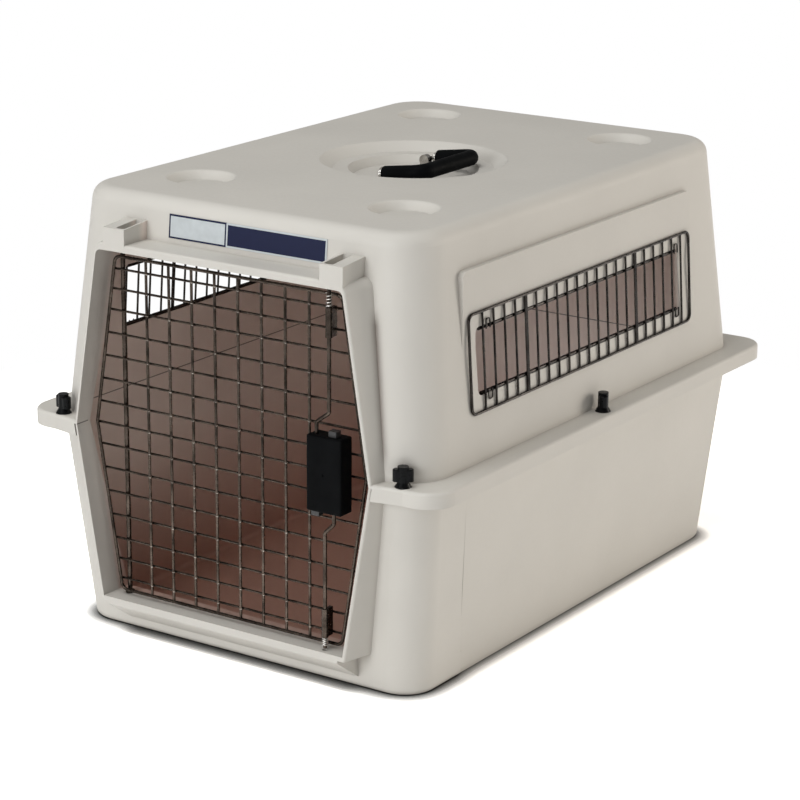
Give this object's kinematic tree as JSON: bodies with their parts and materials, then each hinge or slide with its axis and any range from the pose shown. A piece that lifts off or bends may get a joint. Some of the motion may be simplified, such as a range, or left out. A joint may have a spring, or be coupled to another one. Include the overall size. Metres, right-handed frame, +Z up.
{
  "type": "pet transport carrier",
  "caption": "Split-shell plastic pet carrier with a hinged wire mesh door, barred side vents, clamping wing knobs and a folding top handle.",
  "frame": {"origin": "middle of the footprint on the floor", "axes": "+X to the right of someone facing the door, -Y out of the door towards them, +Z up"},
  "size_m": [0.524, 0.708, 0.4846],
  "materials": {
    "shell_plastic": "fine-grained warm off-white moulded plastic",
    "black_plastic": "satin black",
    "knob_plastic": "black with a slight gloss",
    "grey_plastic": "grey",
    "door_steel": "dull plated wire",
    "bright_steel": "bright plated rod",
    "fastener_steel": "zinc plated",
    "vent_steel": "plated wire",
    "label_sheet": "printed sheet, left blank"
  },
  "bodies": {
    "shell": {"upper_shell": "shell_plastic", "lower_shell": "shell_plastic", "flange_bolts": "fastener_steel", "flange_washers": "fastener_steel", "handle_posts": "bright_steel", "handle_post_nuts": "fastener_steel", "label_plate": "label_sheet", "right_vent_frame": "vent_steel", "right_vent_bars": "vent_steel", "right_vent_rods": "vent_steel", "right_vent_clips": "vent_steel", "left_vent_frame": "vent_steel", "left_vent_bars": "vent_steel", "left_vent_rods": "vent_steel", "left_vent_clips": "vent_steel"},
    "door": {"door_outline_wire": "door_steel", "door_vertical_wires": "door_steel", "door_cross_wires": "door_steel", "hinge_rod": "door_steel", "hinge_washer": "door_steel", "latch_housing": "black_plastic", "latch_back_plate": "door_steel", "latch_screws": "fastener_steel", "rod_guides": "door_steel"},
    "upper_bolt": {"upper_latch_rod": "bright_steel", "upper_latch_slide": "grey_plastic"},
    "lower_bolt": {"lower_latch_rod": "bright_steel", "lower_latch_slide": "grey_plastic"},
    "handle": {"handle_wire": "bright_steel", "handle_grip": "black_plastic"},
    "knob_front_left": {"knob_front_left": "knob_plastic"},
    "knob_front_right": {"knob_front_right": "knob_plastic"},
    "knob_side_left": {"knob_side_left": "knob_plastic"},
    "knob_side_right": {"knob_side_right": "knob_plastic"},
    "knob_rear_left": {"knob_rear_left": "knob_plastic"},
    "knob_rear_right": {"knob_rear_right": "knob_plastic"}
  },
  "joints": [
    {"name": "door_swing", "type": "hinge", "parent": "shell", "child": "door", "pos_m": [-0.1375, -0.33021, 0.232], "axis": [0, 0, -1], "range_deg": [0, 105]},
    {"name": "upper_bolt_slide", "type": "slide", "parent": "door", "child": "upper_bolt", "axis": [0, 0, 1], "range_m": [0, 0.009]},
    {"name": "lower_bolt_slide", "type": "slide", "parent": "door", "child": "lower_bolt", "axis": [0, 0, -1], "range_m": [0, 0.009]},
    {"name": "handle_fold", "type": "hinge", "parent": "shell", "child": "handle", "pos_m": [-0.007, -0.005, 0.468], "axis": [0, -1, 0], "range_deg": [0, 158]},
    {"name": "knob_front_left_turn", "type": "hinge", "parent": "shell", "child": "knob_front_left", "pos_m": [-0.2155, -0.339, 0.2337], "axis": [0, 0, 1], "continuous": true},
    {"name": "knob_front_right_turn", "type": "hinge", "parent": "shell", "child": "knob_front_right", "pos_m": [0.2155, -0.339, 0.2337], "axis": [0, 0, 1], "continuous": true},
    {"name": "knob_side_left_turn", "type": "hinge", "parent": "shell", "child": "knob_side_left", "pos_m": [-0.2475, -0.005, 0.2337], "axis": [0, 0, 1], "continuous": true},
    {"name": "knob_side_right_turn", "type": "hinge", "parent": "shell", "child": "knob_side_right", "pos_m": [0.2475, -0.005, 0.2337], "axis": [0, 0, 1], "continuous": true},
    {"name": "knob_rear_left_turn", "type": "hinge", "parent": "shell", "child": "knob_rear_left", "pos_m": [-0.15, 0.343, 0.2337], "axis": [0, 0, 1], "continuous": true},
    {"name": "knob_rear_right_turn", "type": "hinge", "parent": "shell", "child": "knob_rear_right", "pos_m": [0.15, 0.343, 0.2337], "axis": [0, 0, 1], "continuous": true}
  ]
}
